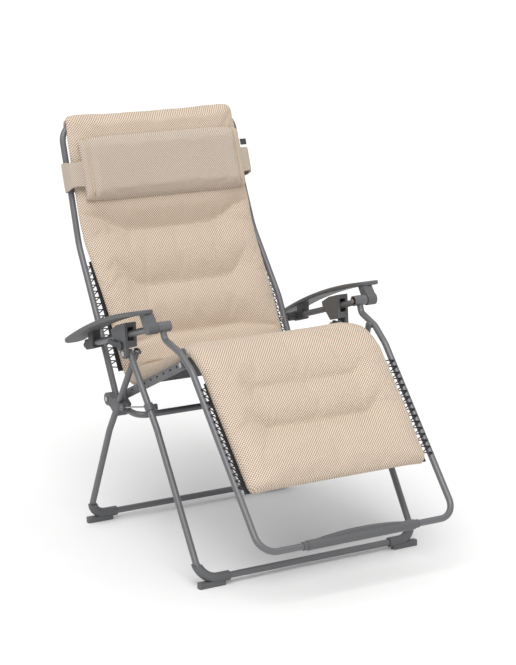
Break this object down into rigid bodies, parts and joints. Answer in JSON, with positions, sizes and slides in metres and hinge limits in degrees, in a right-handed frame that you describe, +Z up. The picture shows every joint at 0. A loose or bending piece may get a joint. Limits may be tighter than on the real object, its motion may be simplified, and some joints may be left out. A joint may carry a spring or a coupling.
{
  "type": "zero gravity recliner",
  "caption": "Folding recliner with a laced padded sling, tubular frames, sliding armrests with levers and a head pillow.",
  "frame": {"origin": "middle of the footprint box, on the floor", "axes": "+Z up, the sitter faces -Y, X is the width"},
  "size_m": [0.71, 1.0434, 1.0255],
  "materials": {
    "frame_tube": "satin powder coat",
    "moulding": "fine matte",
    "pins": "dark zinc",
    "cushion": "woven mesh",
    "pillow": "woven mesh",
    "lacing": "braided elastic",
    "tab": "matte"
  },
  "bodies": {
    "rear_legs": {"rear_leg_frame": "frame_tube", "rear_corner_feet": "moulding", "hip_crossbar": "frame_tube", "left_hip_bracket": "moulding", "right_hip_bracket": "moulding", "stay_pins": "pins", "hip_bushes": "moulding", "hip_pins": "pins"},
    "front_legs": {"front_leg_frame": "frame_tube", "front_corner_feet": "moulding", "leg_pivot_bolts": "pins", "left_stay_clip": "moulding", "right_stay_clip": "moulding"},
    "back": {"back_frame": "frame_tube", "back_cushion": "cushion", "left_back_lacing": "lacing", "right_back_lacing": "lacing", "armrest_pins": "pins"},
    "pillow": {"head_pillow": "pillow", "left_pillow_strap": "pillow", "right_pillow_strap": "pillow", "strap_tab": "tab"},
    "seat": {"left_seat_rail": "frame_tube", "right_seat_rail": "frame_tube", "seat_cushion": "cushion", "knee_pins": "pins"},
    "leg_rest": {"leg_rest_frame": "frame_tube", "left_knee_lug": "frame_tube", "right_knee_lug": "frame_tube", "left_leg_socket": "frame_tube", "right_leg_socket": "frame_tube", "leg_cushion": "cushion", "heel_sleeve": "moulding", "left_leg_lacing": "lacing", "right_leg_lacing": "lacing"},
    "armrests": {"left_armrest_rod": "frame_tube", "left_armrest_plate": "moulding", "left_armrest_elbow": "moulding", "left_armrest_bracket": "moulding", "right_armrest_rod": "frame_tube", "right_armrest_plate": "moulding", "right_armrest_elbow": "moulding", "right_armrest_bracket": "moulding", "leg_axles": "pins", "rod_caps": "moulding"},
    "lock_blocks": {"left_lock_block": "moulding", "right_lock_block": "moulding"},
    "left_lever": {"left_lock_lever": "moulding"},
    "right_lever": {"right_lock_lever": "moulding"},
    "stay_rods": {"left_stay_rod": "pins", "right_stay_rod": "pins"}
  },
  "joints": [
    {"name": "fold", "type": "hinge", "parent": "rear_legs", "child": "front_legs", "pos_m": [0, 0.04325, 0.501], "axis": [1, 0, 0], "range_deg": [0, 46]},
    {"name": "recline", "type": "hinge", "parent": "rear_legs", "child": "back", "pos_m": [0, 0.18525, 0.352], "axis": [1, 0, 0], "range_deg": [-26, 8]},
    {"name": "seat_tilt", "type": "hinge", "parent": "back", "child": "seat", "pos_m": [0, 0.18525, 0.352], "axis": [1, 0, 0], "range_deg": [-6.19, 20]},
    {"name": "leg_rest_lift", "type": "hinge", "parent": "seat", "child": "leg_rest", "pos_m": [0, -0.13775, 0.504], "axis": [1, 0, 0], "range_deg": [-30.19, 9.32]},
    {"name": "armrest_tilt", "type": "hinge", "parent": "back", "child": "armrests", "pos_m": [0, 0.25261, 0.4804], "axis": [1, 0, 0], "range_deg": [-6.66, 21.52]},
    {"name": "block_tilt", "type": "hinge", "parent": "rear_legs", "child": "lock_blocks", "pos_m": [0, 0.04325, 0.501], "axis": [1, 0, 0], "range_deg": [-4.58, 1.44]},
    {"name": "left_lever_turn", "type": "hinge", "parent": "lock_blocks", "child": "left_lever", "pos_m": [0, 0.05334, 0.51929], "axis": [-1, 0, 0], "range_deg": [0, 55]},
    {"name": "right_lever_turn", "type": "hinge", "parent": "lock_blocks", "child": "right_lever", "pos_m": [0, 0.05334, 0.51929], "axis": [-1, 0, 0], "range_deg": [0, 55]},
    {"name": "stay_swing", "type": "hinge", "parent": "rear_legs", "child": "stay_rods", "pos_m": [0, 0.11025, 0.347], "axis": [1, 0, 0], "range_deg": [-23.05, 0.05]},
    {"name": "pillow_slide", "type": "slide", "parent": "back", "child": "pillow", "axis": [0, -0.3084, -0.9513], "range_m": [-0.03, 0.022]}
  ],
  "couplings": [
    {"joint": "seat_tilt", "follows": "recline", "ratio": -0.7672},
    {"joint": "leg_rest_lift", "follows": "recline", "ratio": 1.1593},
    {"joint": "armrest_tilt", "follows": "recline", "ratio": -0.8259},
    {"joint": "block_tilt", "follows": "recline", "ratio": 0.1741},
    {"joint": "stay_swing", "follows": "fold", "ratio": -0.5}
  ]
}
